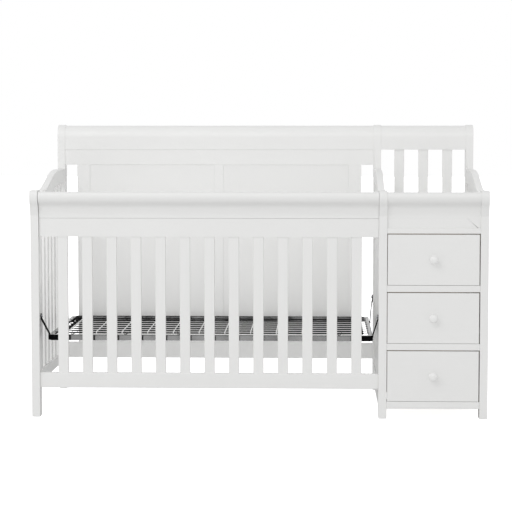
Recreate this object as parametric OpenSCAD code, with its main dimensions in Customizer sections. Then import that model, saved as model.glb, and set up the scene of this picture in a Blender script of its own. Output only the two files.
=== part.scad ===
// Full-size crib joined to a three-drawer changer. Six sleigh-topped posts stand in
// three end frames; rails, slats and panels run between them.
// X runs along the front, Y from the front to the back, Z up from the floor.

/* [Crib] */
// Clear width between the crib's posts, for a full-size mattress
crib_inner_w = 1330; // [1320:1:1340]
// Number of front slats
front_slat_n = 13; // [11:1:13]
// Width of a front slat
front_slat_w = 40.5; // [36:0.5:44]
// Pitch of the front slats
front_slat_pitch = 95.95; // [84:0.05:96]
// Number of slats in the open end
end_slat_n = 7; // [7:1:8]
// Width of an end slat
end_slat_w = 36; // [30:1:40]
// Pitch of the end slats
end_slat_pitch = 90; // [78:1:91]

/* [Posts] */
// Width of a post seen from the front
post_w = 32; // [30:1:36]
// Depth of a post seen from the side
post_d = 55; // [50:1:58]
// Depth from the front posts' face to the back posts' rear face
frame_depth = 795; // [780:1:810]
// Height of the front posts
front_post_h = 895; // [885:1:905]
// Height of the back posts
back_post_h = 1148; // [1130:1:1160]

/* [Rails] */
// Top of the front crown rail
front_crown_top = 888.5; // [880:0.5:892]
// Top of the back crown rail
back_crown_top = 1144.5; // [1125:0.5:1146]
// Top of the front bottom rail
bottom_rail_top = 177; // [170:0.5:190]
// Rise of the end rails from the front to the back
end_rise = 72; // [50:1:80]
// Height of an end's top rail
end_rail_h = 62; // [50:1:70]

/* [Changer] */
// Clear width between the changer's posts
changer_inner_w = 362; // [355:1:380]
// Height of a drawer opening
drawer_open_h = 202; // [195:0.5:202]
// Length of the drawer runners
runner_len = 550; // [500:10:600]
// Thickness of the drawer fronts
drawer_front_t = 18; // [15:1:20]
// How far a knob stands out from its drawer front
knob_out = 28; // [24:1:32]

/* [Mattress support] */
// Height of the top of the support frame
support_top = 322.5; // [318:0.5:325]
// Width of the angle steel's level leg
angle_w = 20; // [18:1:24]
// Height of the angle steel's upright leg
angle_h = 22; // [18:1:26]
// Thickness of the angle steel
angle_t = 2; // [1.5:0.5:2.5]
// Diameter of the long wires
long_wire_d = 5.6; // [4:0.1:5.8]
// Diameter of the cross wires
cross_wire_d = 3.8; // [2.6:0.1:3.8]
// Outer diameter of the coil springs
coil_d = 9; // [8:0.5:10]

/* [Hidden] */
$fn = 48;
white = [0.93, 0.93, 0.92];
soft_white = [0.88, 0.88, 0.87];
black = [0.09, 0.09, 0.1];
zinc = [0.72, 0.73, 0.75];

// X stations of the three end frames
x1 = post_w;
x2 = x1 + crib_inner_w;
x3 = x2 + post_w;
x4 = x3 + changer_inner_w;
x5 = x4 + post_w;
// Front face of the back posts
yb = frame_depth - post_d;
glide_h = 2.5;
// Most forward and most rearward points: the knob tips and the curled post tops
y_min = 1 - knob_out;
y_max = yb + 72;
y_mid = (y_min + y_max) / 2;

// Front rails
fy0 = 10;
fy1 = 32;
crown_lo = front_crown_top - 102;
apron_lo = crown_lo - 73.5;
bottom_lo = bottom_rail_top - 60;
tenon = 12;
// Back rails
by0 = yb + 3;
by1 = yb + 25;
back_crown_lo = back_crown_top - 102.5;
back_upper_lo = back_crown_lo - 65;
back_bottom_lo = 138.5;
back_bottom_top = 206;
unit_x0 = x1 + 52.5;
unit_x1 = x2 - 52.5;
stile_w = 54.5;
mid_stile_w = 37;
// End frames
end_front_z = 888;
end_bottom_lo = 133;
solid_bottom_lo = 41.5;
solid_bottom_top = 118;
tongue = 8;
// Changer cabinet, from the floor up
cab_y0 = 1;
cab_bottom_lo = 41.5;
cab_bottom_top = 70;
divider_h = 26;
open_z = [for (i = [0:2]) cab_bottom_top + i * (drawer_open_h + divider_h)];
cab_top_lo = open_z[2] + drawer_open_h;
board_lo = cab_top_lo + 21.5;
board_t = 16;
xc = (x3 + x4) / 2;
// Drawer boxes and their slides
side_gap = 12.5;
dx0 = x3 + side_gap;
dx1 = x4 - side_gap;
face_y1 = cab_y0 + drawer_front_t;
box_y1 = face_y1 + runner_len;
box_t = 12;
chan_z = 30;
roller_r = 10;
axle_r = 2.5;
front_roller_y = 40;
rear_roller_y = box_y1 - 14;
knob_y = cab_y0;
// Mattress support
sx0 = x1 + 28;
sx1 = x2 - 20;
sy0 = 52;
sy1 = yb - 5;
wire_z = support_top - 2.5;
wire_y = [for (i = [0:7]) 141 + i * 71.3];
wire_x0 = sx0 + 60;
wire_x1 = sx1 - 60;
cross_x = concat([sx0 + 65.5], [for (i = [0:9]) (sx0 + sx1) / 2 + 2 + (i - 4.5) * 102.8], [sx1 - 63.5]);
hook_x = [for (i = [0:5]) sx0 + 92 + i * (sx1 - sx0 - 225) / 5];
// A spring's coil lies between these distances from the end of the frame
coil_a = 35;
coil_b = 58;
hook_r = 1;

// ---- helpers ----
module place() { translate([-x5 / 2, -y_mid, 0]) children(); }
module box(xa, xb, ya, yb_, za, zb) { translate([xa, ya, za]) cube([xb - xa, yb_ - ya, zb - za]); }
// Extrude an outline drawn in (Y, Z) from xa to xb
module along_x(xa, xb) { translate([xa, 0, 0]) rotate([90, 0, 90]) linear_extrude(xb - xa) children(); }
// Extrude an outline drawn in (X, Z) from ya to yb_
module along_y(ya, yb_) { translate([0, yb_, 0]) rotate([90, 0, 0]) linear_extrude(yb_ - ya) children(); }
module rod_x(xa, xb, y, z, r) { translate([xa, y, z]) rotate([0, 90, 0]) cylinder(r = r, h = xb - xa); }
module rod_y(x, ya, yb_, z, r) { translate([x, ya, z]) rotate([-90, 0, 0]) cylinder(r = r, h = yb_ - ya); }
// A straight round rod between two points
module rod(a, b, r) {
  d = b - a; l = norm(d);
  translate(a) rotate([0, acos(d[2] / l), atan2(d[1], d[0])]) cylinder(r = r, h = l);
}
// Smooth curve through control points
function cr(a, b, c, d, t) = 0.5 * (2 * b + (c - a) * t + (2 * a - 5 * b + 4 * c - d) * t * t + (3 * b - a - 3 * c + d) * t * t * t);
function run(P, n = 4) = concat([for (i = [0:len(P) - 2]) for (k = [0:n - 1])
  cr(P[max(i - 1, 0)], P[i], P[i + 1], P[min(i + 2, len(P) - 1)], k / n)], [P[len(P) - 1]]);
function smooth(t) = let (u = min(max(t, 0), 1)) u * u * (3 - 2 * u);

// ---- outlines in (Y, Z) ----
function front_roll(t) = run([[0, t - 100], [-3, t - 88], [-6, t - 78], [-9.5, t - 66], [-13.5, t - 57],
  [-18, t - 49], [-21.3, t - 40], [-22.5, t - 31], [-22.3, t - 21], [-20.6, t - 11], [-17, t - 3.5], [-11, t]]);
module front_post_outline() {
  t = front_post_h;
  polygon(concat([[0, glide_h]], front_roll(t), [[50, t], [53.8, t - 1.5], [post_d, t - 5], [post_d, glide_h]]));
}
module front_crown_outline() {
  t = front_crown_top;
  polygon(concat([[9, crown_lo]],
    run([[9, t - 93], [8.6, t - 88], [7.6, t - 80.5], [4.3, t - 65.5], [1.8, t - 58.5], [-1, t - 53.5], [-5, t - 48.5],
      [-9.9, t - 43.5], [-14.3, t - 38.5], [-17.4, t - 33.5], [-19.4, t - 28.5], [-20.7, t - 23], [-21, t - 17],
      [-20.4, t - 10], [-18.4, t - 4.5], [-15.4, t - 1.2], [-11, t]], 3),
    [[27, t], [30.6, t - 1.4], [fy1, t - 5], [fy1, crown_lo]]));
}
module back_post_outline() {
  t = back_post_h; y = yb;
  polygon(concat([[y, glide_h]],
    run([[y, t - 54], [y + 0.6, t - 43], [y + 3.4, t - 31], [y + 8.6, t - 20.5], [y + 16, t - 11.5], [y + 25, t - 4.8],
      [y + 35, t - 1], [y + 45, t], [y + 55, t - 1.6], [y + 64, t - 6.5], [y + 70, t - 14], [y + 72, t - 23],
      [y + 71.2, t - 35], [y + 67.6, t - 51], [y + 62.6, t - 69], [y + 58.2, t - 87], [y + 55.7, t - 101], [y + 55, t - 113]], 3),
    [[y + 55, glide_h]]));
}
module back_crown_outline() {
  t = back_crown_top; y = yb;
  polygon(concat([[y + 1, t - 102.5]],
    run([[y + 1, t - 51], [y + 1.7, t - 39.5], [y + 4.6, t - 28], [y + 9.8, t - 18], [y + 17, t - 9.5], [y + 26, t - 3.6],
      [y + 35.5, t - 0.6], [y + 45, t], [y + 54, t - 2], [y + 61.5, t - 7], [y + 66.5, t - 14.5], [y + 68, t - 24],
      [y + 66, t - 37], [y + 61, t - 53], [y + 54.5, t - 69], [y + 48, t - 83], [y + 43.5, t - 94], [y + 42, t - 102.5]], 3)));
}
function end_top(y) = end_front_z + end_rise * (1 - pow(1 - smooth((y - 165) / 480), 1.5));
module end_rail_outline() {
  s = [for (i = [0:40]) post_d + i * (yb - post_d) / 40];
  polygon(concat([for (y = s) [y, end_top(y)]], [for (i = [40:-1:0]) [s[i], end_top(s[i]) - end_rail_h]]));
}
// Open end's slat k: its top follows the rail
function end_slat_y(k) = (post_d + yb) / 2 - ((end_slat_n - 1) * end_slat_pitch + end_slat_w) / 2 + k * end_slat_pitch;
module end_slat(k, grow = 0) {
  ya = end_slat_y(k); ye = ya + end_slat_w;
  along_x(9, 23) polygon([[ya, bottom_rail_top - tenon], [ye, bottom_rail_top - tenon],
    [ye, end_top(ye) - end_rail_h + tenon], [ya, end_top(ya) - end_rail_h + tenon]]);
}
// Solid end panel, tongued into the posts and rails round it
module end_panel(xa, xb) {
  s = [for (i = [0:40]) post_d - tongue + i * (yb - post_d + 2 * tongue) / 40];
  along_x(xa, xb) polygon(concat([[post_d - tongue, solid_bottom_top - tongue]],
    [for (y = s) [y, end_top(y) - end_rail_h + tongue]], [[yb + tongue, solid_bottom_top - tongue]]));
}
module mid_panel() { end_panel(x2 + 6, x3 - 6); }
module right_panel() { end_panel(x4 + 6, x5 - 6); }
module back_sheet() { box(x3 - tongue, x4 + tongue, yb + 22.5, yb + 30.5, cab_bottom_lo, board_lo); }
function slat_x(i) = x1 + crib_inner_w / 2 + 3.4 + (i - (front_slat_n - 1) / 2) * front_slat_pitch;
module front_slat(i) { box(slat_x(i) - front_slat_w / 2, slat_x(i) + front_slat_w / 2, 13, 29, bottom_rail_top - tenon, apron_lo + tenon); }
module gallery_slat(i) {
  c = xc + (i - 1) * 102.6;
  box(c - 20.5, c + 20.5, yb + 7, yb + 21, board_lo + board_t + 76 - tenon, back_crown_lo + tenon);
}

// ---- fasteners that draw the frame together ----
// Each entry: X of the head's outer face, direction, Y, Z, how far back the barrel hole opens
BOLTS = [[0, 1, 21, crown_lo + 50, fy1], [0, 1, 21, 149, fy1], [0, 1, yb + 20, back_crown_lo + 50, yb + 75], [0, 1, yb + 14, 172, by1],
  [x3, -1, 21, crown_lo + 50, fy1], [x3, -1, 21, 149, fy1], [x3, -1, yb + 20, back_crown_lo + 50, yb + 75], [x3, -1, yb + 14, 172, by1],
  [x5, -1, 21, crown_lo + 50, fy1], [x5, -1, 30, 56, 60], [x5, -1, yb + 20, back_crown_lo + 50, yb + 75], [x5, -1, yb + 14, 804, by1]];
module bolt_at(b) { translate([b[0], b[2], b[3]]) rotate([0, 90 * b[1], 0]) children(); }
module bolt(b) {
  bolt_at(b) difference() {
    union() { translate([0, 0, 0.6]) cylinder(r = 6, h = 4); translate([0, 0, 4.6]) cylinder(r = 3, h = 70); }
    translate([0, 0, 0]) cylinder(r = 2.3, h = 3, $fn = 6);
  }
  translate([b[0] + b[1] * 66, b[2], b[3]]) difference() {
    translate([0, -7, 0]) rotate([-90, 0, 0]) cylinder(r = 5, h = 14);
    translate([-6, 0, 0]) rotate([0, 90, 0]) cylinder(r = 3.1, h = 12);
  }
}
module bolt_hole(b) {
  bolt_at(b) union() { translate([0, 0, -1]) cylinder(r = 6.75, h = 5.8); cylinder(r = 3.3, h = 78); }
  translate([b[0] + b[1] * 66, b[2] - 7.5, b[3]]) rotate([-90, 0, 0]) cylinder(r = 5.15, h = b[4] - b[2] + 7.5 + 1);
}
// Each hanger's centre along Y and the height at which it is bolted to its post
HANG = [[42, 398.5], [yb + 12, 407]];
module hanger_hole(x, k) { translate([x, HANG[k][0], HANG[k][1]]) rotate([0, 90, 0]) cylinder(r = 3.2, h = 44, center = true); }
// The crib's front rails meet the posts behind a fine shadow line
module shadow_gaps() { for (s = [[x1 - 1, x1 + 1.5], [x2 - 0.8, x2 + 1]]) box(s[0], s[1], -30, 16, apron_lo - 1, front_crown_top + 1); }
module glide_hole(x, y) { translate([x, y, -1]) cylinder(r = 2.5, h = 18.5); }

// ---- end frames ----
module front_post(xa, i) {
  difference() {
    along_x(xa, xa + post_w) front_post_outline();
    glide_hole(xa + post_w / 2, 27.5);
    if (i == 0) for (b = [BOLTS[0], BOLTS[1]]) bolt_hole(b);
    if (i == 1) for (b = [BOLTS[4], BOLTS[5]]) bolt_hole(b);
    if (i == 2) for (b = [BOLTS[8], BOLTS[9]]) bolt_hole(b);
    if (i == 0) hanger_hole(x1, 0);
    if (i == 1) { hanger_hole(x2, 0); mid_panel(); }
    if (i == 2) right_panel();
  }
}
module back_post(xa, i) {
  difference() {
    along_x(xa, xa + post_w) back_post_outline();
    glide_hole(xa + post_w / 2, yb + 27.5);
    if (i == 0) for (b = [BOLTS[2], BOLTS[3]]) bolt_hole(b);
    if (i == 1) for (b = [BOLTS[6], BOLTS[7]]) bolt_hole(b);
    if (i == 2) for (b = [BOLTS[10], BOLTS[11]]) bolt_hole(b);
    if (i == 0) hanger_hole(x1, 1);
    if (i == 1) { hanger_hole(x2, 1); mid_panel(); back_sheet(); }
    if (i == 2) { right_panel(); back_sheet(); }
  }
}
module left_front_post() { color(white) place() front_post(0, 0); }
module left_back_post() { color(white) place() back_post(0, 0); }
module mid_front_post() { color(white) place() front_post(x2, 1); }
module mid_back_post() { color(white) place() back_post(x2, 1); }
module right_front_post() { color(white) place() front_post(x4, 2); }
module right_back_post() { color(white) place() back_post(x4, 2); }
module left_top_rail() {
  color(white) place() difference() {
    along_x(2, 30) end_rail_outline();
    for (k = [0:end_slat_n - 1]) end_slat(k);
  }
}
module mid_top_rail() { color(white) place() difference() { along_x(x2 + 2, x3 - 2) end_rail_outline(); mid_panel(); } }
module right_top_rail() { color(white) place() difference() { along_x(x4 + 2, x5 - 2) end_rail_outline(); right_panel(); } }
module left_bottom_rail() {
  color(white) place() difference() {
    box(2, 30, post_d, yb, end_bottom_lo, bottom_rail_top);
    for (k = [0:end_slat_n - 1]) end_slat(k);
  }
}
module left_slats() { color(white) place() for (k = [0:end_slat_n - 1]) end_slat(k); }
module solid_end_panels() { color(soft_white) place() { mid_panel(); right_panel(); } }
module solid_end_bottom_rails() {
  color(white) place() difference() {
    for (x = [x2, x4]) box(x + 2, x + post_w - 2, post_d, yb, solid_bottom_lo, solid_bottom_top);
    mid_panel();
    right_panel();
  }
}

// ---- crib front ----
module front_crown_rail() { color(white) place() difference() { along_x(x1, x2) front_crown_outline(); shadow_gaps(); bolt_hole(BOLTS[0]); bolt_hole(BOLTS[4]); } }
module front_apron_rail() {
  color(white) place() difference() {
    box(x1, x2, fy0, fy1, apron_lo, crown_lo);
    shadow_gaps();
    // the groove under the crown rail
    box(x1 - 1, x2 + 1, fy0 - 1, 15, crown_lo - 0.9, crown_lo + 1);
    for (i = [0:front_slat_n - 1]) front_slat(i);
  }
}
module front_bottom_rail() {
  color(white) place() difference() {
    box(x1, x2, fy0, fy1, bottom_lo, bottom_rail_top);
    for (i = [0:front_slat_n - 1]) front_slat(i);
    bolt_hole(BOLTS[1]);
    bolt_hole(BOLTS[5]);
  }
}
module front_slats() { color(white) place() for (i = [0:front_slat_n - 1]) front_slat(i); }

// ---- crib back ----
module stile_solids() {
  for (s = [[unit_x0, unit_x0 + stile_w], [(x1 + x2 - mid_stile_w) / 2, (x1 + x2 + mid_stile_w) / 2], [unit_x1 - stile_w, unit_x1]])
    {
      box(s[0], s[1], by0, by1, back_bottom_top, back_upper_lo);
      box(s[0] + 3, s[1] - 3, by0 + 12, by1 - 3, back_bottom_top - tenon, back_upper_lo + tenon);
    }
}
module panel_solids() {
  a = unit_x0 + stile_w; m = (x1 + x2) / 2; h = mid_stile_w / 2;
  for (s = [[a - tongue, m - h + tongue], [m + h - tongue, unit_x1 - stile_w + tongue]])
    box(s[0], s[1], by0 + 2.5, by0 + 10.5, back_bottom_top - tongue, back_upper_lo + tongue);
}
module back_crown_rail() { color(white) place() difference() { along_x(x1, x2) back_crown_outline(); bolt_hole(BOLTS[2]); bolt_hole(BOLTS[6]); } }
module back_upper_rail() {
  color(white) place() difference() {
    box(x1, x2, by0, by1, back_upper_lo, back_crown_lo);
    stile_solids();
    panel_solids();
  }
}
module back_bottom_rail() {
  color(white) place() difference() {
    box(x1, x2, by0, by1, back_bottom_lo, back_bottom_top);
    stile_solids();
    panel_solids();
    bolt_hole(BOLTS[3]);
    bolt_hole(BOLTS[7]);
  }
}
module back_stiles() { color(white) place() difference() { stile_solids(); panel_solids(); } }
module back_panels() { color(soft_white) place() panel_solids(); }

// ---- changer ----
module gallery_crown_rail() {
  color(white) place() difference() {
    along_x(x3, x4) back_crown_outline();
    bolt_hole(BOLTS[10]);
    for (i = [0:2]) gallery_slat(i);
  }
}
module gallery_slats() { color(white) place() for (i = [0:2]) gallery_slat(i); }
module gallery_lower_rail() {
  color(white) place() difference() {
    box(x3, x4, by0, by1, board_lo + board_t, board_lo + board_t + 76);
    for (i = [0:2]) gallery_slat(i);
    bolt_hole(BOLTS[11]);
  }
}
module changer_crown_rail() { color(white) place() difference() { along_x(x3, x4) front_crown_outline(); bolt_hole(BOLTS[8]); } }
module changer_apron() {
  color(white) place() along_y(9, fy1)
    polygon([[x3, board_lo], [x4 - 11.2, board_lo], [x4 - 53.6, crown_lo], [x3, crown_lo]]);
}
module corner_block() {
  color(white) place() along_y(9, fy1)
    polygon([[x4 - 8.8, board_lo], [x4, board_lo], [x4, crown_lo], [x4 - 51.2, crown_lo]]);
}
module cabinet_top_rail() { color(white) place() box(x3, x4, cab_y0, 55, cab_top_lo, board_lo); }
module drawer_dividers() {
  color(white) place() for (i = [0:1]) box(x3, x4, cab_y0, 60, open_z[i] + drawer_open_h, open_z[i + 1]);
}
module cabinet_bottom_rail() { color(white) place() difference() { box(x3, x4, cab_y0, 60, cab_bottom_lo, cab_bottom_top); bolt_hole(BOLTS[9]); } }
module changing_top() {
  color(white) place() union() {
    box(x3 - 6, x4 + 6, post_d, yb, board_lo, board_lo + board_t);
    box(x3, x4, fy1, yb + 31, board_lo, board_lo + board_t);
  }
}
module cabinet_back_panel() { color(soft_white) place() back_sheet(); }

// ---- drawer slides ----
// Drawn for the right side, with X = 0 on the drawer's side face and +X outwards;
// the left side is its mirror image
module right_side() { translate([dx1, 0, 0]) children(); }
module left_side() { translate([dx0, 0, 0]) mirror([1, 0, 0]) children(); }
module slide_channel(z0) {
  b = z0 + chan_z; y0 = 22; y1 = y0 + runner_len;
  box(11.3, 12.5, y0, y1, b, b + 34);
  box(1.6, 11.3, y0 + 26, y1, b, b + 1.2);
  box(5, 11.3, y0 + 26, y1, b + 32.8, b + 34);
  rod_x(2.7, 11.3, front_roller_y, b + 11.5, axle_r);
  rod_x(2.1, 2.7, front_roller_y, b + 11.5, 4);
}
module slide_member(z0) {
  b = z0 + chan_z; y1 = box_y1;
  box(0, 1.2, face_y1, y1, b + 4, b + 44);
  box(1.2, 9.8, face_y1, y1, b + 21.8, b + 23);
  rod_x(1.2, 10, rear_roller_y, b + 11.5, axle_r);
  rod_x(10, 10.6, rear_roller_y, b + 11.5, 4);
}
module roller(xa, xb, y, z) {
  difference() {
    union() { rod_x(xa, xb, y, z, roller_r - 0.4); rod_x(xa + 0.8, xb - 0.8, y, z, roller_r); }
    rod_x(xa - 1, xb + 1, y, z, axle_r + 0.25);
  }
}
module cabinet_slides() { color([0.86, 0.86, 0.85]) place() for (i = [0:2]) { left_side() slide_channel(open_z[i]); right_side() slide_channel(open_z[i]); } }
module slide_packers() {
  color([0.8, 0.68, 0.5]) place() for (i = [0:2]) for (x = [x3 - 6, x4])
    box(x, x + 6, post_d, 600, max(open_z[i] + chan_z - 3, solid_bottom_top), open_z[i] + chan_z + 37);
}
module cabinet_rollers(i) {
  z = open_z[i] + chan_z + 11.5;
  color([0.9, 0.9, 0.88]) place() { left_side() roller(3, 10.4, front_roller_y, z); right_side() roller(3, 10.4, front_roller_y, z); }
}
module drawer_rollers(i) {
  z = open_z[i] + chan_z + 11.5;
  color([0.9, 0.9, 0.88]) place() { left_side() roller(2, 9.6, rear_roller_y, z); right_side() roller(2, 9.6, rear_roller_y, z); }
}
module drawer_runners(i) { color([0.86, 0.86, 0.85]) place() { left_side() slide_member(open_z[i]); right_side() slide_member(open_z[i]); } }

// ---- drawers ----
module drawer_front(i) {
  z = open_z[i];
  color(white) place() difference() {
    box(x3 + 2, x4 - 3.5, cab_y0, face_y1, z + 1, z + drawer_open_h - 3.3);
    rod_y(xc - 1, cab_y0 - 1, face_y1 + 1, z + 100.5, 2.3);
  }
}
// The box's five boards stand a glue line apart
glue = 0.1;
module drawer_bottom(i, grow = 0) {
  box(dx0 + box_t - 5 - grow, dx1 - box_t + 5 + grow, face_y1 + box_t - 5 - grow, box_y1 - box_t + 4.5 + grow, open_z[i] + 32 - grow, open_z[i] + 37 + grow);
}
module drawer_box(i) {
  z = open_z[i]; a = z + 22; t = z + 170;
  color([0.9, 0.87, 0.8]) place() {
    // sides
    difference() { box(dx0, dx0 + box_t, face_y1, box_y1, a, t); drawer_bottom(i, glue); }
    difference() { box(dx1 - box_t, dx1, face_y1, box_y1, a, t); drawer_bottom(i, glue); }
    // sub-front and back
    difference() {
      box(dx0 + box_t + glue, dx1 - box_t - glue, face_y1, face_y1 + box_t, a, t);
      drawer_bottom(i, glue);
      rod_y(xc - 1, face_y1 - 1, face_y1 + box_t + 1, z + 100.5, 2.3);
    }
    difference() { box(dx0 + box_t + glue, dx1 - box_t - glue, box_y1 - 0.5 - box_t, box_y1 - 0.5, a, t); drawer_bottom(i, glue); }
    drawer_bottom(i);
  }
}
module drawer_knob(i) {
  z = open_z[i] + 100.5; k = knob_out;
  color(white) place() {
    translate([xc - 1, knob_y, z]) rotate([90, 0, 0]) rotate_extrude($fn = 96)
      polygon(concat([[0, 14], [2.15, 14], [2.15, 0]],
        run([[8.5, 0], [8.3, 2], [7, 4.6], [6.4, 7.8], [6.9, 10.6], [9.4, 13], [13.6, 14.9], [16.4, 17.4], [17, k - 7.6], [16.2, k - 5], [13.8, k - 2.6], [10, k - 1.1], [5.2, k - 0.25], [0, k]], 3)));
    rod_y(xc - 1, knob_y - 12, face_y1 + box_t, z, 2);
    rod_y(xc - 1, face_y1 + box_t, face_y1 + box_t + 2.4, z, 4.2);
  }
}

// ---- mattress support ----
module support_frame() {
  w = angle_w; h = angle_h; t = angle_t; z1 = support_top;
  color(black) place() difference() {
    box(sx0, sx1, sy0, sy1, z1 - h, z1);
    box(sx0 + t, sx1 - t, sy0 + t, sy1 - t, z1 - h - 1, z1 - t);
    box(sx0 + w, sx1 - w, sy0 + w, sy1 - w, z1 - h - 1, z1 + 1);
    for (x = [sx0 + 42, sx1 - 42]) rod_y(x, sy0 - 1, sy0 + t + 1, z1 - 12, 3.2);
  }
}
module support_long_wires() {
  color(black) place() for (y = wire_y) rod_x(wire_x0, wire_x1, y, wire_z, long_wire_d / 2);
}
module support_cross_wires() {
  z = wire_z + (long_wire_d + cross_wire_d) / 2 + 0.02;
  color(zinc) place() for (x = cross_x) rod_y(x, wire_y[0] - 6, wire_y[7] + 6, z, cross_wire_d / 2);
}
module support_springs() {
  e = angle_w;
  color(black) place() {
    // coil and its two end hooks, as closed rods
    for (y = wire_y) for (s = [[sx0, 1], [sx1, -1]]) translate([s[0], 0, 0]) mirror([s[1] < 0 ? 1 : 0, 0, 0]) {
      rod_x(e + 0.1, coil_a, y, wire_z - 0.6, hook_r);
      rod_x(coil_a, coil_b, y, wire_z, coil_d / 2);
      rod_x(coil_b, 59.9, y, wire_z, hook_r);
    }
    for (x = hook_x) for (s = [-1, 1]) {
      rod([x + s * 10, wire_y[0] - 4.4, wire_z], [x + s * 1.9, sy0 + e + 1.4, wire_z], 1.5);
      rod([x + s * 10, wire_y[7] + 4.4, wire_z], [x + s * 1.9, sy1 - e - 1.4, wire_z], 1.5);
    }
  }
}
// Strap hangers, drawn for the left with X = 0 on the post's inner face. The frame's side is at
// X = r. The front strap comes down to X = c, on a plate that a stud and nut hold to the frame's
// front leg.
module front_hanger(r, c) {
  y = HANG[0][0]; z = support_top;
  difference() {
    union() {
      along_y(y - 11, sy0) polygon([[0, 406.5], [3, 406.5], [3, 391], [c + 1.8, z + 6], [c + 1.8, z - 4], [c - 1.8, z - 4], [c - 1.8, z + 5.5], [0, 387.5]]);
      along_y(sy0 - 3, sy0) polygon([[r, z], [c + 44, z], [c + 44, z - angle_h], [r + 12, z - angle_h], [r, z - angle_h + 5]]);
      rod_y(r + 42, sy0, sy0 + 9, z - 12, 3);
    }
    rod_x(-1, 4, y, HANG[0][1], 3.2);
  }
}
// The rear strap drops close to the post, to X = c at its foot, and turns in under the frame,
// which rests on it
module rear_hanger(r, c) {
  y = HANG[1][0]; z = support_top - angle_h;
  difference() {
    union() {
      along_y(y - 12, y + 12) polygon([[0, 415], [3, 415], [3, 399], [0.3 * c + 3.1, 380], [c + 0.6, 314], [c + 1.6, z], [c + 1.6, z - 3], [c - 1.6, z - 3], [c - 2.4, 314], [0.3 * c + 0.1, 380], [0, 392]]);
      box(c - 1.6, r + 8, sy1 - 34, y + 12, z - 3, z);
    }
    rod_x(-1, 4, y, HANG[1][1], 3.2);
  }
}
module support_hangers() {
  color(black) place() {
    translate([x1, 0, 0]) { front_hanger(sx0 - x1, 33.6); rear_hanger(sx0 - x1, 6.4); }
    translate([x2, 0, 0]) mirror([1, 0, 0]) { front_hanger(x2 - sx1, 20.8); rear_hanger(x2 - sx1, 12.3); }
  }
}
module hanger_bolts(x, s) {
  for (h = HANG) translate([x, h[0], h[1]]) rotate([0, 90 * s, 0]) {
    translate([0, 0, -20]) cylinder(r = 3, h = 23.2);
    translate([0, 0, 3]) cylinder(r = 6, h = 4);
  }
  translate([s > 0 ? sx0 + 42 : sx1 - 42, sy0 + angle_t, support_top - 12]) rotate([-90, 0, 0]) difference() {
    cylinder(r = 5.5, h = 4, $fn = 6);
    translate([0, 0, -1]) cylinder(r = 3.1, h = 6);
  }
}
module frame_bolts() {
  color([0.5, 0.5, 0.52]) place() {
    for (b = BOLTS) bolt(b);
    hanger_bolts(x1, 1);
    hanger_bolts(x2, -1);
  }
}
module foot_glides() {
  color([0.8, 0.8, 0.78]) place() for (x = [0, x2, x4]) for (y = [27.5, yb + 27.5]) {
    translate([x + post_w / 2, y, 0]) cylinder(r = 11, h = glide_h);
    translate([x + post_w / 2, y, glide_h]) cylinder(r = 2.4, h = 14);
  }
}

left_front_post();
left_back_post();
left_top_rail();
left_bottom_rail();
left_slats();
mid_front_post();
mid_back_post();
mid_top_rail();
right_front_post();
right_back_post();
right_top_rail();
solid_end_panels();
solid_end_bottom_rails();
front_crown_rail();
front_apron_rail();
front_bottom_rail();
front_slats();
back_crown_rail();
back_upper_rail();
back_bottom_rail();
back_panels();
back_stiles();
gallery_crown_rail();
gallery_slats();
gallery_lower_rail();
changer_crown_rail();
changer_apron();
corner_block();
cabinet_top_rail();
drawer_dividers();
cabinet_bottom_rail();
changing_top();
cabinet_back_panel();
cabinet_slides();
slide_packers();
support_frame();
support_long_wires();
support_cross_wires();
support_springs();
support_hangers();
frame_bolts();
foot_glides();
drawer_front(0);  // drawer_1_front
drawer_box(0);  // drawer_1_box
drawer_knob(0);  // drawer_1_knob
drawer_runners(0);  // drawer_1_runners
drawer_rollers(0);  // drawer_1_rollers
cabinet_rollers(0);  // cabinet_rollers_1
drawer_front(1);  // drawer_2_front
drawer_box(1);  // drawer_2_box
drawer_knob(1);  // drawer_2_knob
drawer_runners(1);  // drawer_2_runners
drawer_rollers(1);  // drawer_2_rollers
cabinet_rollers(1);  // cabinet_rollers_2
drawer_front(2);  // drawer_3_front
drawer_box(2);  // drawer_3_box
drawer_knob(2);  // drawer_3_knob
drawer_runners(2);  // drawer_3_runners
drawer_rollers(2);  // drawer_3_rollers
cabinet_rollers(2);  // cabinet_rollers_3
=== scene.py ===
import bmesh
import bpy
import math
import random
from mathutils import Matrix, Vector


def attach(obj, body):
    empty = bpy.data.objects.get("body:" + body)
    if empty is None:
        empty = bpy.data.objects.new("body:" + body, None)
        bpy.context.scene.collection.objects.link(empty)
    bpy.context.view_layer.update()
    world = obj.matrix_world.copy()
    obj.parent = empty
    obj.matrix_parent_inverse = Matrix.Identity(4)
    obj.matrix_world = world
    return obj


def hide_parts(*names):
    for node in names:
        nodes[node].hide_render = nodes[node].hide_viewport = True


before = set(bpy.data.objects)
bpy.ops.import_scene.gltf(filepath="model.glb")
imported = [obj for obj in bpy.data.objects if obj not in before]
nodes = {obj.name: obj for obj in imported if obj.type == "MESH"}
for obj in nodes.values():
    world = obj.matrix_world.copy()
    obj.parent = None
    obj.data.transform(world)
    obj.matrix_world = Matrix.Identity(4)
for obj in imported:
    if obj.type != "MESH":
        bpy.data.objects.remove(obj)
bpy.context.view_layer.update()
random.seed(7)

# Design stations in millimetres: X from the left post's outer face, Y from the front face of
# the posts, Z from the floor. P() turns them into the row frame.
HX, YC = 894.0, 392.5


def P(x, y, z):
    return Vector(((x - HX) / 1000, (y - YC) / 1000, z / 1000))


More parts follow.
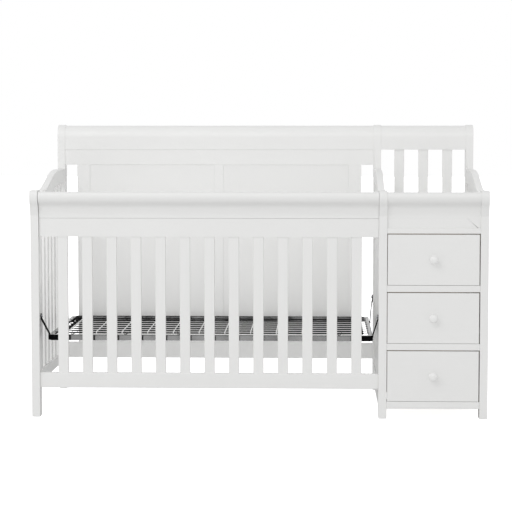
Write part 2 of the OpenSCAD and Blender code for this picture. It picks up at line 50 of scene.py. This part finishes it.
# ------------------------------------------------------------------ camera
cam_data = bpy.data.cameras.new("camera")
cam = bpy.data.objects.new("camera", cam_data)
bpy.context.scene.collection.objects.link(cam)
yaw, pitch, roll = 0.0362, 0.0763, -0.0003
fwd = Vector((-math.sin(yaw) * math.cos(pitch), math.cos(yaw) * math.cos(pitch), -math.sin(pitch)))
right = Vector((math.cos(yaw), math.sin(yaw), 0))
up = right.cross(fwd)
r2 = right * math.cos(roll) + up * math.sin(roll)
u2 = up * math.cos(roll) - right * math.sin(roll)
rot = Matrix((r2, u2, -fwd)).transposed().to_4x4()
cam.matrix_world = Matrix.Translation(P(1130.516, -6814.911, 1161.193)) @ rot
cam_data.sensor_width = 36
cam_data.lens = 1755.235 / 512 * 36
cam_data.clip_start = 0.1
cam_data.clip_end = 100
bpy.context.scene.camera = cam


# ------------------------------------------------------------------ shader helpers
class Nodes:
    def __init__(self, name):
        self.mat = bpy.data.materials.new(name)
        self.mat.use_nodes = True
        self.t = self.mat.node_tree
        self.bsdf = self.t.nodes["Principled BSDF"]

    def new(self, kind, **values):
        n = self.t.nodes.new(kind)
        for k, v in values.items():
            if isinstance(v, dict):
                for a, b in v.items():
                    n.inputs[a].default_value = b
            else:
                setattr(n, k, v)
        return n

    def link(self, a, b):
        self.t.links.new(a, b)

    def noise(self, co, scale, detail=3.0, rough=0.5, distortion=0.0):
        n = self.new("ShaderNodeTexNoise")
        n.inputs["Scale"].default_value = scale
        n.inputs["Detail"].default_value = detail
        n.inputs["Roughness"].default_value = rough
        n.inputs["Distortion"].default_value = distortion
        self.link(co, n.inputs["Vector"])
        return n.outputs["Fac"]

    def ramp(self, fac, stops):
        n = self.new("ShaderNodeValToRGB")
        el = n.color_ramp.elements
        while len(el) < len(stops):
            el.new(0.5)
        for e, (p, c) in zip(el, stops):
            e.position = p
            e.color = (c, c, c, 1) if isinstance(c, (int, float)) else (*c, 1)
        self.link(fac, n.inputs["Fac"])
        return n.outputs["Color"]

    def maprange(self, v, a, b, c, d):
        n = self.new("ShaderNodeMapRange")
        for i, x in zip(("From Min", "From Max", "To Min", "To Max"), (a, b, c, d)):
            n.inputs[i].default_value = x
        self.link(v, n.inputs["Value"])
        return n.outputs["Result"]

    def math(self, op, a, b):
        n = self.new("ShaderNodeMath", operation=op)
        for i, x in enumerate((a, b)):
            if isinstance(x, (int, float)):
                n.inputs[i].default_value = x
            else:
                self.link(x, n.inputs[i])
        return n.outputs[0]

    def mix(self, fac, a, b, blend="MIX"):
        n = self.new("ShaderNodeMix", data_type="RGBA", blend_type=blend)
        for i, x in ((0, fac), (6, a), (7, b)):
            if isinstance(x, (int, float)):
                n.inputs[i].default_value = x
            elif isinstance(x, tuple):
                n.inputs[i].default_value = (*x, 1)
            else:
                self.link(x, n.inputs[i])
        return n.outputs[2]

    def scaled(self, co, s):
        n = self.new("ShaderNodeMapping")
        n.inputs["Scale"].default_value = s
        self.link(co, n.inputs["Vector"])
        return n.outputs["Vector"]

    def bump(self, height, strength, distance, normal=None):
        n = self.new("ShaderNodeBump")
        n.inputs["Strength"].default_value = strength
        n.inputs["Distance"].default_value = distance
        self.link(height, n.inputs["Height"])
        if normal is not None:
            self.link(normal, n.inputs["Normal"])
        return n.outputs["Normal"]


def attribute(m, name):
    n = m.new("ShaderNodeAttribute", attribute_name=name)
    return n.outputs["Fac"]


def painted_wood(name, base, axis, rough=0.36, peel=1.0, grain=1.0):
    """Sprayed satin paint: large soft tone drift, the wood's grain telegraphing faintly through
    along `axis`, orange peel, and slightly burnished edges."""
    m = Nodes(name)
    co = m.new("ShaderNodeTexCoord").outputs["Object"]
    along = {"X": (1.6, 30, 30), "Y": (30, 1.6, 30), "Z": (30, 30, 1.6)}[axis]
    part = attribute(m, "part")
    wear = attribute(m, "edge")
    shift = m.new("ShaderNodeVectorMath", operation="ADD")
    m.link(co, shift.inputs[0])
    m.link(part, shift.inputs[1])
    cloud = m.noise(shift.outputs[0], 2.2, 3, 0.55)
    fibre = m.noise(m.scaled(shift.outputs[0], along), 6.0, 6, 0.65, 0.4)
    fine = m.noise(co, 900.0, 2, 0.5)
    blot = m.noise(shift.outputs[0], 14.0, 4, 0.6)
    c0 = tuple(x * 0.975 for x in base)
    c1 = tuple(min(1, x * 1.015) for x in base)
    col = m.mix(cloud, c0, c1)
    col = m.mix(m.maprange(part, 0, 1, 0.0, 0.5), col, tuple(x * 0.985 for x in base))
    col = m.mix(m.maprange(fibre, 0.35, 0.75, 0.0, 0.12 * grain), col, tuple(x * 0.93 for x in base))
    # edges: a breath of wear where the coat is thinnest, broken up by the blotches
    w = m.math("MULTIPLY", wear, m.maprange(blot, 0.5, 0.72, 0.0, 0.55))
    col = m.mix(w, col, (base[0] * 0.93, base[1] * 0.915, base[2] * 0.885))
    m.link(col, m.bsdf.inputs["Base Color"])
    r = m.maprange(blot, 0.3, 0.7, rough - 0.05, rough + 0.07)
    r = m.math("SUBTRACT", r, m.math("MULTIPLY", wear, 0.06))
    m.link(r, m.bsdf.inputs["Roughness"])
    n1 = m.bump(fine, 0.16 * peel, 0.0004)
    n2 = m.bump(fibre, 0.10 * grain, 0.0006, n1)
    n3 = m.bump(m.noise(shift.outputs[0], 5.5, 2, 0.5), 0.05, 0.003, n2)
    m.link(n3, m.bsdf.inputs["Normal"])
    m.bsdf.inputs["Specular IOR Level"].default_value = 0.42
    m.bsdf.inputs["Coat Weight"].default_value = 0.06
    m.bsdf.inputs["Coat Roughness"].default_value = 0.22
    return m.mat


def bare_wood(name, light, dark, axis):
    """Pale lacquered ply or solid drawer wood with long streaky grain and pores."""
    m = Nodes(name)
    co = m.new("ShaderNodeTexCoord").outputs["Object"]
    part = attribute(m, "part")
    shift = m.new("ShaderNodeVectorMath", operation="ADD")
    m.link(co, shift.inputs[0])
    m.link(part, shift.inputs[1])
    along = {"X": (0.9, 14, 14), "Y": (14, 0.9, 14), "Z": (14, 14, 0.9)}[axis]
    v = m.scaled(shift.outputs[0], along)
    rings = m.noise(v, 3.2, 6, 0.62, 1.6)
    pores = m.noise(m.scaled(v, (1.5, 1.5, 1.5)), 22.0, 4, 0.7)
    col = m.mix(m.maprange(rings, 0.32, 0.68, 0, 1), light, dark)
    col = m.mix(m.maprange(pores, 0.55, 0.8, 0, 0.35), col, tuple(x * 0.55 for x in dark))
    col = m.mix(m.math("MULTIPLY", attribute(m, "edge"), 0.35), col, tuple(min(1, x * 1.12) for x in light))
    m.link(col, m.bsdf.inputs["Base Color"])
    m.link(m.maprange(pores, 0.3, 0.8, 0.38, 0.6), m.bsdf.inputs["Roughness"])
    n = m.bump(pores, 0.2, 0.0004)
    m.link(m.bump(rings, 0.1, 0.001, n), m.bsdf.inputs["Normal"])
    m.bsdf.inputs["Specular IOR Level"].default_value = 0.4
    return m.mat


def enamel(name, base, rough=0.3, coat=0.3, chip=(0.2, 0.2, 0.21), spec=0.5):
    """Baked enamel or epoxy on steel: gentle orange peel, dust in the sheen, thin wear on edges."""
    m = Nodes(name)
    co = m.new("ShaderNodeTexCoord").outputs["Object"]
    peel = m.noise(co, 260.0, 2, 0.5)
    blot = m.noise(co, 9.0, 5, 0.6)
    speck = m.noise(co, 70.0, 4, 0.65)
    wear = m.math("MULTIPLY", attribute(m, "edge"), m.maprange(speck, 0.55, 0.7, 0.0, 0.7))
    col = m.mix(blot, tuple(x * 0.85 for x in base), tuple(min(1, x * 1.12) for x in base))
    m.link(m.mix(wear, col, chip), m.bsdf.inputs["Base Color"])
    m.link(m.maprange(blot, 0.3, 0.7, rough - 0.06, rough + 0.1), m.bsdf.inputs["Roughness"])
    n = m.bump(peel, 0.2, 0.0005)
    m.link(m.bump(speck, 0.06, 0.0008, n), m.bsdf.inputs["Normal"])
    m.bsdf.inputs["Specular IOR Level"].default_value = spec
    m.bsdf.inputs["Coat Weight"].default_value = coat
    m.bsdf.inputs["Coat Roughness"].default_value = 0.12
    return m.mat


def plated(name, base, rough=0.28, scale=120.0):
    """Zinc-plated steel: drawn-wire streaks, cloudy passivation and a little dulling."""
    m = Nodes(name)
    co = m.new("ShaderNodeTexCoord").outputs["Object"]
    cloud = m.noise(co, 25.0, 5, 0.65)
    streak = m.noise(co, scale, 3, 0.6, 0.3)
    m.link(m.mix(m.maprange(cloud, 0.3, 0.7, 0, 1), tuple(x * 0.82 for x in base), base), m.bsdf.inputs["Base Color"])
    m.link(m.maprange(streak, 0.3, 0.7, rough - 0.08, rough + 0.14), m.bsdf.inputs["Roughness"])
    m.link(m.bump(streak, 0.15, 0.0003), m.bsdf.inputs["Normal"])
    m.bsdf.inputs["Metallic"].default_value = 1.0
    return m.mat


def nylon(name, base):
    m = Nodes(name)
    co = m.new("ShaderNodeTexCoord").outputs["Object"]
    cloud = m.noise(co, 40.0, 4, 0.6)
    fine = m.noise(co, 500.0, 3, 0.6)
    m.link(m.mix(cloud, tuple(x * 0.94 for x in base), base), m.bsdf.inputs["Base Color"])
    m.link(m.maprange(fine, 0.3, 0.7, 0.42, 0.58), m.bsdf.inputs["Roughness"])
    m.link(m.bump(fine, 0.2, 0.0003), m.bsdf.inputs["Normal"])
    m.bsdf.inputs["Subsurface Weight"].default_value = 0.08
    m.bsdf.inputs["Subsurface Radius"].default_value = (0.004, 0.004, 0.003)
    return m.mat


WHITE = (0.83, 0.83, 0.822)
M = {a: painted_wood("white_paint_" + a, WHITE, a) for a in "XYZ"}
PANEL = painted_wood("white_board", (0.82, 0.82, 0.812), "Z", rough=0.4, peel=1.3, grain=0.35)
KNOB = painted_wood("white_knob", (0.85, 0.85, 0.842), "Z", rough=0.26, peel=0.5, grain=0.0)
BARE_X = bare_wood("bare_wood_x", (0.74, 0.62, 0.46), (0.62, 0.49, 0.33), "X")
BARE_Y = bare_wood("bare_wood_y", (0.74, 0.62, 0.46), (0.62, 0.49, 0.33), "Y")
BLACK = enamel("black_enamel", (0.004, 0.004, 0.0045), 0.5, 0.0, (0.03, 0.03, 0.032), 0.1)
GLOSS = enamel("gloss_black", (0.004, 0.004, 0.0045), 0.12, 0.0, (0.02, 0.02, 0.021))
SHEEN = enamel("gloss_black_top", (0.004, 0.004, 0.0045), 0.12, 1.0, (0.02, 0.02, 0.021))
MATT = enamel("matt_black", (0.003, 0.003, 0.0034), 0.6, 0.0, (0.02, 0.02, 0.021), 0.03)
EPOXY = enamel("epoxy_white", (0.74, 0.74, 0.72), 0.34, 0.2, (0.6, 0.6, 0.59))
ZINC = plated("zinc_wire", (0.97, 0.972, 0.975), 0.4)
BOLT = plated("bolt_steel", (0.42, 0.42, 0.44), 0.32, 260.0)
NYLON = nylon("nylon", (0.78, 0.78, 0.75))


# ------------------------------------------------------------------ geometry helpers
def solid_boxes(node, grow=0.3):
    """The box of each loose solid in a CAD node, in metres, grown by `grow` mm."""
    bm = bmesh.new()
    bm.from_mesh(nodes[node].data)
    bmesh.ops.remove_doubles(bm, verts=bm.verts, dist=2e-6)
    seen, out = set(), []
    for v in bm.verts:
        if v in seen:
            continue
        stack, lo, hi = [v], v.co.copy(), v.co.copy()
        seen.add(v)
        while stack:
            w = stack.pop()
            for i in range(3):
                lo[i] = min(lo[i], w.co[i])
                hi[i] = max(hi[i], w.co[i])
            for e in w.link_edges:
                o = e.other_vert(w)
                if o not in seen:
                    seen.add(o)
                    stack.append(o)
        out.append((lo - Vector((grow,) * 3) / 1000, hi + Vector((grow,) * 3) / 1000))
    bm.free()
    return out


def inside(p, box):
    return all(box[0][i] <= p[i] <= box[1][i] for i in range(3))


def finish_mesh(name, bm, mats, body, replace, sharp=38.0, weighted=True):
    me = bpy.data.meshes.new(name)
    bm.to_mesh(me)
    bm.free()
    for m in mats:
        me.materials.append(m)
    ob = bpy.data.objects.new(name, me)
    bpy.context.scene.collection.objects.link(ob)
    for p in me.polygons:
        p.use_smooth = True
    me.set_sharp_from_angle(angle=math.radians(sharp))
    if weighted:
        w = ob.modifiers.new("normals", "WEIGHTED_NORMAL")
        w.keep_sharp = True
        w.weight = 60
    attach(ob, body)
    if replace:
        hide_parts(*([replace] if isinstance(replace, str) else replace))
    return ob


def mark_parts(bm):
    """A different number for each loose solid, so that repeated boards don't share their grain."""
    layer = bm.verts.layers.float.new("part")
    seen, k = set(), 0
    for v in bm.verts:
        if v in seen:
            continue
        value = (k * 0.37 + 0.11) % 1.0
        k += 1
        stack = [v]
        seen.add(v)
        while stack:
            w = stack.pop()
            w[layer] = value
            for e in w.link_edges:
                o = e.other_vert(w)
                if o not in seen:
                    seen.add(o)
                    stack.append(o)


def dress(node, mat, width=2.0, segments=3, avoid=(), keep_out=(), body="crib_frame", sharp=38.0, min_angle=32.0, name=None, first=None):
    """The CAD node's own solids with eased edges: coplanar triangles are merged, every outer arris
    is rounded to `width` mm, and the rounded strip is marked for the material's wear. `first` is a
    (test, width, segments) for arrises that take a larger round before the others."""
    bm = bmesh.new()
    bm.from_mesh(nodes[node].data)
    bmesh.ops.remove_doubles(bm, verts=bm.verts, dist=2e-6)
    bmesh.ops.dissolve_limit(bm, angle_limit=math.radians(0.4), verts=bm.verts, edges=bm.edges)
    mark_parts(bm)
    blocks = [b for n in avoid for b in solid_boxes(n)]
    edge_layer = bm.verts.layers.float.new("edge")

    def arrises(test):
        out = []
        for e in bm.edges:
            if len(e.link_faces) != 2 or not e.is_convex or e.calc_face_angle(0) < math.radians(min_angle):
                continue
            a, b = e.verts[0].co, e.verts[1].co
            if any(inside(a, k) and inside(b, k) for k in blocks):
                continue
            if any(h(a) and h(b) for h in keep_out):
                continue
            if test(a, b):
                out.append(e)
        return out

    def ease(edges, w, n):
        if not w or not edges:
            return
        r = bmesh.ops.bevel(bm, geom=edges, offset=w / 1000, offset_type="OFFSET", segments=n, profile=0.5,
                            affect="EDGES", clamp_overlap=True, loop_slide=True)
        strip = set(r["faces"])
        for v in bm.verts:
            if v.link_faces and all(f in strip for f in v.link_faces):
                v[edge_layer] = 1.0

    if first:
        ease(arrises(first[0]), first[1], first[2])
    ease(arrises(lambda a, b: True), width, segments)
    return finish_mesh(name or node + ".dressed", bm, [mat], body, node, sharp)


def smooth_path(pts, n=6):
    """Points along the smooth curve through `pts`."""
    out = []
    for i in range(len(pts) - 1):
        a, b, c, d = pts[max(i - 1, 0)], pts[i], pts[i + 1], pts[min(i + 2, len(pts) - 1)]
        for k in range(n):
            t = k / n
            out.append(0.5 * (2 * b + (c - a) * t + (2 * a - 5 * b + 4 * c - d) * t * t + (3 * b - a - 3 * c + d) * t ** 3))
    return out + [pts[-1]]


def tube(bm, pts, radius, sides=10, closed=False):
    """A round wire swept along `pts` with no twist; `radius` may be one value or one per point."""
    n = len(pts)
    rad = [radius] * n if isinstance(radius, (int, float)) else radius
    tan = []
    for i in range(n):
        a, b = (pts[i - 1], pts[(i + 1) % n]) if closed else (pts[max(i - 1, 0)], pts[min(i + 1, n - 1)])
        tan.append((b - a).normalized())
    side = tan[0].orthogonal().normalized()
    rings = []
    for i in range(n):
        if i:
            side = side - tan[i] * side.dot(tan[i])
            side.normalize()
        other = tan[i].cross(side)
        rings.append([bm.verts.new(pts[i] + (side * math.cos(2 * math.pi * k / sides) + other * math.sin(2 * math.pi * k / sides)) * rad[i])
                      for k in range(sides)])
    for i in range(n if closed else n - 1):
        p, q = rings[i], rings[(i + 1) % n]
        off = 0
        if closed and i == n - 1:
            off = min(range(sides), key=lambda s: (p[0].co - q[s].co).length)
        for k in range(sides):
            bm.faces.new((p[k], p[(k + 1) % sides], q[(k + 1 + off) % sides], q[(k + off) % sides]))
    if not closed:
        for ring, t, s, r in ((rings[0], -tan[0], 1, rad[0]), (rings[-1], tan[-1], -1, rad[-1])):
            inner = [bm.verts.new(v.co + (sum((w.co for w in ring), Vector()) / sides - v.co) * 0.3 + t * r * 0.25) for v in ring]
            for k in range(sides):
                f = (ring[k], ring[(k + 1) % sides], inner[(k + 1) % sides], inner[k])
                bm.faces.new(f[::-1] if s > 0 else f)
            bm.faces.new(inner[::-1] if s > 0 else inner)


# Cylindrical recesses of the frame bolts: their rims stay as drilled
def near_axis(axis, c, r=9.5):
    i, j = [k for k in range(3) if k != axis]

    def test(p):
        return (p[i] - c[i]) ** 2 + (p[j] - c[j]) ** 2 < (r / 1000) ** 2
    return test


yb = 740
BOLT_AXES = [near_axis(0, P(0, y, z)) for y, z in
             ((21, 836.5), (21, 149), (yb + 20, 1092), (yb + 14, 172), (30, 56), (yb + 14, 804))]
BARREL = [near_axis(1, P(x, 0, z)) for x in (66, 1394 - 66, 1788 - 66) for z in (836.5, 149, 1092, 172, 56, 804)]
HANG = [near_axis(0, P(0, 42, 398.5)), near_axis(0, P(0, yb + 12, 407))]
STUDS = [near_axis(1, P(x, 0, 310.5)) for x in (102, 1300)]
FEET = [near_axis(2, P(x, y, 0)) for x in (16, 1378, 1772) for y in (27.5, yb + 27.5)]
HOLES = BOLT_AXES + BARREL + HANG + FEET

# ------------------------------------------------------------------ woodwork
for n in ("left_front_post", "mid_front_post", "right_front_post", "left_back_post", "mid_back_post", "right_back_post"):
    dress(n, M["Z"], 1.6 if "front" in n else 1.3, 4, avoid=("solid_end_panels", "cabinet_back_panel"), keep_out=HOLES)
for n in ("left_top_rail", "mid_top_rail", "right_top_rail"):
    dress(n, M["Y"], 3.0, 4, avoid=("left_slats", "solid_end_panels"))
for n in ("left_bottom_rail", "solid_end_bottom_rails"):
    dress(n, M["Y"], 2.2, 3, avoid=("left_slats", "solid_end_panels"))
dress("left_slats", M["Z"], 2.4, 4)
dress("front_slats", M["Z"], 2.4, 4)
dress("gallery_slats", M["Z"], 2.2, 4)
for n, w in (("front_crown_rail", 0.8), ("changer_crown_rail", 0.5), ("back_crown_rail", 0.6), ("gallery_crown_rail", 0.6)):
    dress(n, M["X"], w, 3, avoid=("gallery_slats",), keep_out=HOLES)
for n, w in (("front_apron_rail", 0.8), ("front_bottom_rail", 3.0), ("back_upper_rail", 0.6), ("back_bottom_rail", 1.8),
             ("gallery_lower_rail", 1.8), ("changer_apron", 0.3), ("corner_block", 0.3), ("cabinet_top_rail", 1.5),
             ("drawer_dividers", 1.5), ("cabinet_bottom_rail", 1.8)):
    dress(n, M["X"], w, 4, avoid=("front_slats", "gallery_slats", "back_stiles", "back_panels"), keep_out=HOLES)
dress("back_stiles", M["Z"], 0.7, 3, avoid=("back_panels",))
dress("back_panels", PANEL, 0.6, 2)
dress("solid_end_panels", PANEL, 0.8, 2)
dress("changing_top", PANEL, 1.5, 3)
dress("cabinet_back_panel", PANEL, 0.6, 2)
dress("slide_packers", BARE_Y, 0.6, 2)
dress("foot_glides", NYLON, 0.5, 3)
dress("cabinet_slides", EPOXY, 0.25, 2)
dress("frame_bolts", BOLT, 0.35, 2)

for i in (1, 2, 3):
    body = f"drawer_{i}"
    z = (70, 298, 526)[i - 1]
    hole = [near_axis(1, P(1574, 0, z + 100.5), 5)]
    dress(f"drawer_{i}_front", M["X"], 2.0, 4, body=body, keep_out=hole)
    dress(f"drawer_{i}_box", BARE_Y, 1.0, 3, body=body, keep_out=hole)
    dress(f"drawer_{i}_runners", EPOXY, 0.25, 2, body=body)
    dress(f"drawer_{i}_rollers", NYLON, 0.0, body=f"drawer_{i}_roller_pair")
    dress(f"cabinet_rollers_{i}", NYLON, 0.0, body=f"cabinet_roller_pair_{i}")
    dress(f"drawer_{i}_knob", KNOB, 0.0, body=body)

# ------------------------------------------------------------------ mattress support
TOP = 322.5                 # top of the angle-steel frame
WZ = TOP - 2.5              # axis of the long wires
SX0, SX1, SY0, SY1 = 60, 1342, 52, 735
WIRE_Y = [141 + 71.3 * i for i in range(8)]
zt = TOP / 1000 - 1e-4


def outer_top(a, b):
    lo, hi = P(SX0, SY0, 0), P(SX1, SY1, 0)
    edge = any(abs(a[k] - c[k]) < 1e-4 and abs(b[k] - c[k]) < 1e-4 for k in (0, 1) for c in (lo, hi))
    return a.z > zt and b.z > zt and edge


support_frame = dress("support_frame", GLOSS, 0.7, 3, keep_out=STUDS, first=(outer_top, 2.4, 5))
# the front leg and the tops of the side legs are gloss; the rest carries the wires' duller coat
bm = bmesh.new()
bm.from_mesh(support_frame.data)
for x in (SX0 + 21, SX1 - 21):
    bmesh.ops.bisect_plane(bm, geom=bm.verts[:] + bm.edges[:] + bm.faces[:], dist=1e-6, plane_co=P(x, 0, 0), plane_no=(1, 0, 0))
for f in bm.faces:
    c = f.calc_center_median()
    side = abs(c.x - P((SX0 + SX1) / 2, 0, 0).x) * 1000 > (SX1 - SX0) / 2 - 22 and c.y < P(0, SY1 - 40, 0).y
    front = c.y < P(0, SY0 + 26, 0).y
    f.material_index = 2 if front and f.normal.z > 0.5 else 0 if f.normal.y < -0.8 or (side and f.normal.z > 0.5) else 1
bm.to_mesh(support_frame.data)
bm.free()
support_frame.data.materials.append(MATT)
support_frame.data.materials.append(SHEEN)
dress("support_hangers", MATT, 0.8, 2, keep_out=HANG, min_angle=40)

# long wires: straight, each end drawn down and turned into a level eye
bm = bmesh.new()
for y in WIRE_Y:
    xs = [66.0, 68.0, 71.0, 74.0, 90.0]
    pts = [P(SX0 + d, y, WZ) for d in xs] + [P(SX0 + 90 + (SX1 - SX0 - 180) * k / 12, y, WZ) for k in range(1, 12)] + [P(SX1 - d, y, WZ) for d in reversed(xs)]
    r = [0.0015, 0.0018, 0.0025, 0.0028, 0.0028]
    tube(bm, pts, r + [0.0028] * 11 + r[::-1], 14)
    for x0, s in ((SX0, 1), (SX1, -1)):
        eye = [P(x0 + s * (63 + 3.4 * math.cos(a)), y + 3.4 * math.sin(a), WZ) for a in (2 * math.pi * k / 20 for k in range(20))]
        tube(bm, eye, 0.0015, 8, closed=True)
mark_parts(bm)
finish_mesh("support_long_wires.drawn", bm, [BLACK], "crib_frame", "support_long_wires", 60)

# coil springs: a hook through the frame's flange, a close coil, and a hook into the wire's eye
bm = bmesh.new()
for y in WIRE_Y:
    for x0, s in ((SX0, 1), (SX1, -1)):
        head = [(14, 0, -0.8), (14, 0, 1.2), (14.4, 0, 3.4), (16.2, 0, 4.3), (19, 0, 4.2), (21.4, 0, 3.2), (23.2, 0, 1.0), (25.5, 0, 0.0), (30, 0, 0), (33, 0, 0.4), (34.6, 0, 2.2)]
        turns, n = 10.5, 14
        coil = []
        for k in range(int(turns * n) + 1):
            a = 2 * math.pi * k / n
            coil.append((35.2 + 22.4 * k / (turns * n), 3.6 * math.sin(a), 3.6 * math.cos(a)))
        tail = [(58.0, -0.2, -2.6), (58.2, 0.0, -0.2), (58.6, 0.2, 2.2), (59.8, 0.2, 2.7), (61.6, 0.1, 1.6), (62.3, 0, -0.2), (61.4, 0, -2.0), (59.6, 0, -2.7), (58.0, 0, -3.4)]
        pts = smooth_path([Vector(p) for p in head], 4)[:-1] + [Vector(p) for p in coil] + smooth_path([Vector(p) for p in tail[2:]], 4)
        tube(bm, [P(x0 + s * p.x, y + p.y, WZ + p.z) for p in pts], 0.00104, 7)
# V-shaped hooks between the outermost long wires and the frame's front and back flanges
for i in range(6):
    x = SX0 + 92 + (SX1 - SX0 - 225) * i / 5
    for yw, ye, s in ((WIRE_Y[0], SY0, -1), (WIRE_Y[7], SY1, 1)):
        arm = [(10.4, -4.1, -0.9), (10.4, -3.6, 1.9), (10.1, 0.0, 4.05), (9.8, 3.4, 3.0), (9.2, 9.0, 1.2), (7.6, 30.0, 1.6)]
        depth = abs(ye - yw)
        arm += [(3.4, depth - 20.5, 3.8), (2.3, depth - 13.6, 3.7), (1.5, depth - 11.6, 1.6), (0.9, depth - 11.2, -0.8)]
        pts = [Vector((p[0], p[1], p[2])) for p in arm]
        pts = pts + [Vector((-p.x, p.y, p.z)) for p in reversed(pts)]
        tube(bm, [P(x + p.x, yw + s * p.y, WZ + p.z) for p in smooth_path(pts, 5)], 0.0013, 8)
mark_parts(bm)
finish_mesh("support_springs.coiled", bm, [BLACK], "crib_frame", "support_springs", 60)

# cross wires: laid over the long wires, their ends turned down round the outermost two
bm = bmesh.new()
mid = (SX0 + SX1) / 2 + 2
for x in [SX0 + 65.5] + [mid + (i - 4.5) * 102.8 for i in range(10)] + [SX1 - 63.5]:
    end = [(-5.0, -1.2), (-4.95, 0.8), (-3.9, 3.5), (-1.0, 4.8), (2.5, 4.92), (8.0, 4.92)]
    pts = [Vector((x, WIRE_Y[0] + a, WZ + b)) for a, b in end]
    pts += [Vector((x, WIRE_Y[0] + (WIRE_Y[7] - WIRE_Y[0]) * k / 7, WZ + 4.92)) for k in range(1, 7)]
    pts += [Vector((x, WIRE_Y[7] - a, WZ + b)) for a, b in reversed(end)]
    tube(bm, [P(*p) for p in smooth_path(pts, 4)], 0.0021, 10)
mark_parts(bm)
finish_mesh("support_cross_wires.laid", bm, [ZINC], "crib_frame", "support_cross_wires", 60)

# ------------------------------------------------------------------ floor and light
bm = bmesh.new()
bmesh.ops.create_grid(bm, x_segments=1, y_segments=1, size=30)
me = bpy.data.meshes.new("floor")
bm.to_mesh(me)
bm.free()
floor = bpy.data.objects.new("floor", me)
bpy.context.scene.collection.objects.link(floor)
# A pale sweep: seen directly it is near white, with only a breath of shadow under the object, while
# the light that it returns to the object is that of a mid-pale floor
fm = Nodes("floor")
seen = fm.new("ShaderNodeLightPath").outputs["Is Camera Ray"]
fm.link(fm.mix(seen, (0.84, 0.84, 0.84), (0.9, 0.9, 0.9)), fm.bsdf.inputs["Base Color"])
fm.bsdf.inputs["Roughness"].default_value = 0.9
fm.bsdf.inputs["Specular IOR Level"].default_value = 0.1
fm.bsdf.inputs["Emission Color"].default_value = (1, 1, 1, 1)
fm.link(fm.math("MULTIPLY", seen, 0.86), fm.bsdf.inputs["Emission Strength"])
me.materials.append(fm.mat)

world = bpy.data.worlds.new("studio")
bpy.context.scene.world = world
world.use_nodes = True
wt = world.node_tree
sky = wt.nodes["Background"]
sky.inputs[0].default_value = (1, 1, 1, 1)
path = wt.nodes.new("ShaderNodeLightPath")
direct = wt.nodes.new("ShaderNodeMath")
direct.operation = "MAXIMUM"
wt.links.new(path.outputs["Is Camera Ray"], direct.inputs[0])
wt.links.new(path.outputs["Is Glossy Ray"], direct.inputs[1])
power = wt.nodes.new("ShaderNodeMapRange")
power.inputs["To Min"].default_value = 0.683
power.inputs["To Max"].default_value = 1.0
wt.links.new(direct.outputs[0], power.inputs["Value"])
wt.links.new(power.outputs["Result"], sky.inputs[1])


def area(name, at, look, size, power, shadow=True):
    d = bpy.data.lights.new(name, "AREA")
    d.shape = "RECTANGLE"
    d.size, d.size_y = size
    d.energy = power
    d.use_shadow = shadow
    o = bpy.data.objects.new(name, d)
    o.visible_camera = False
    bpy.context.scene.collection.objects.link(o)
    at, look = Vector(at), Vector(look)
    o.matrix_world = Matrix.Translation(at) @ (look - at).to_track_quat("-Z", "Y").to_matrix().to_4x4()
    return o


area("key", (-3.0, -4.6, 4.9), (-0.2, 0, 0.4), (4.0, 3.0), 80)

# A long strip on the floor in front, which only the mattress support's gloss enamel mirrors
strip = area("strip", (-0.3, -2.0, 0.11), (-0.3, 0.0, 0.11), (4.4, 0.24), 22, False)
strip.visible_diffuse = False
mirrors = bpy.data.collections.new("mirrors")
mirrors.objects.link(support_frame)
strip.light_linking.receiver_collection = mirrors
# Soft shadowless light inside the crib, as a reflector over it would give
area("reflector", (0.03, -0.34, 0.76), (0.03, 0.4, 0.66), (1.8, 0.5), 1.18, False)

# A weak fill from beside the camera that casts no shadow, as many large reflectors would
sun = bpy.data.lights.new("fill", "SUN")
sun.energy = 0.42
sun.angle = 0.5
sun.use_shadow = False
ob = bpy.data.objects.new("fill", sun)
bpy.context.scene.collection.objects.link(ob)
ob.matrix_world = Matrix.Translation((0, -3, 2)) @ Vector((-0.05, 1.0, -0.3)).to_track_quat("-Z", "Y").to_matrix().to_4x4()

bpy.context.scene.view_settings.view_transform = "Standard"
bpy.context.scene.view_settings.look = "None"
bpy.context.scene.view_settings.exposure = 0.0
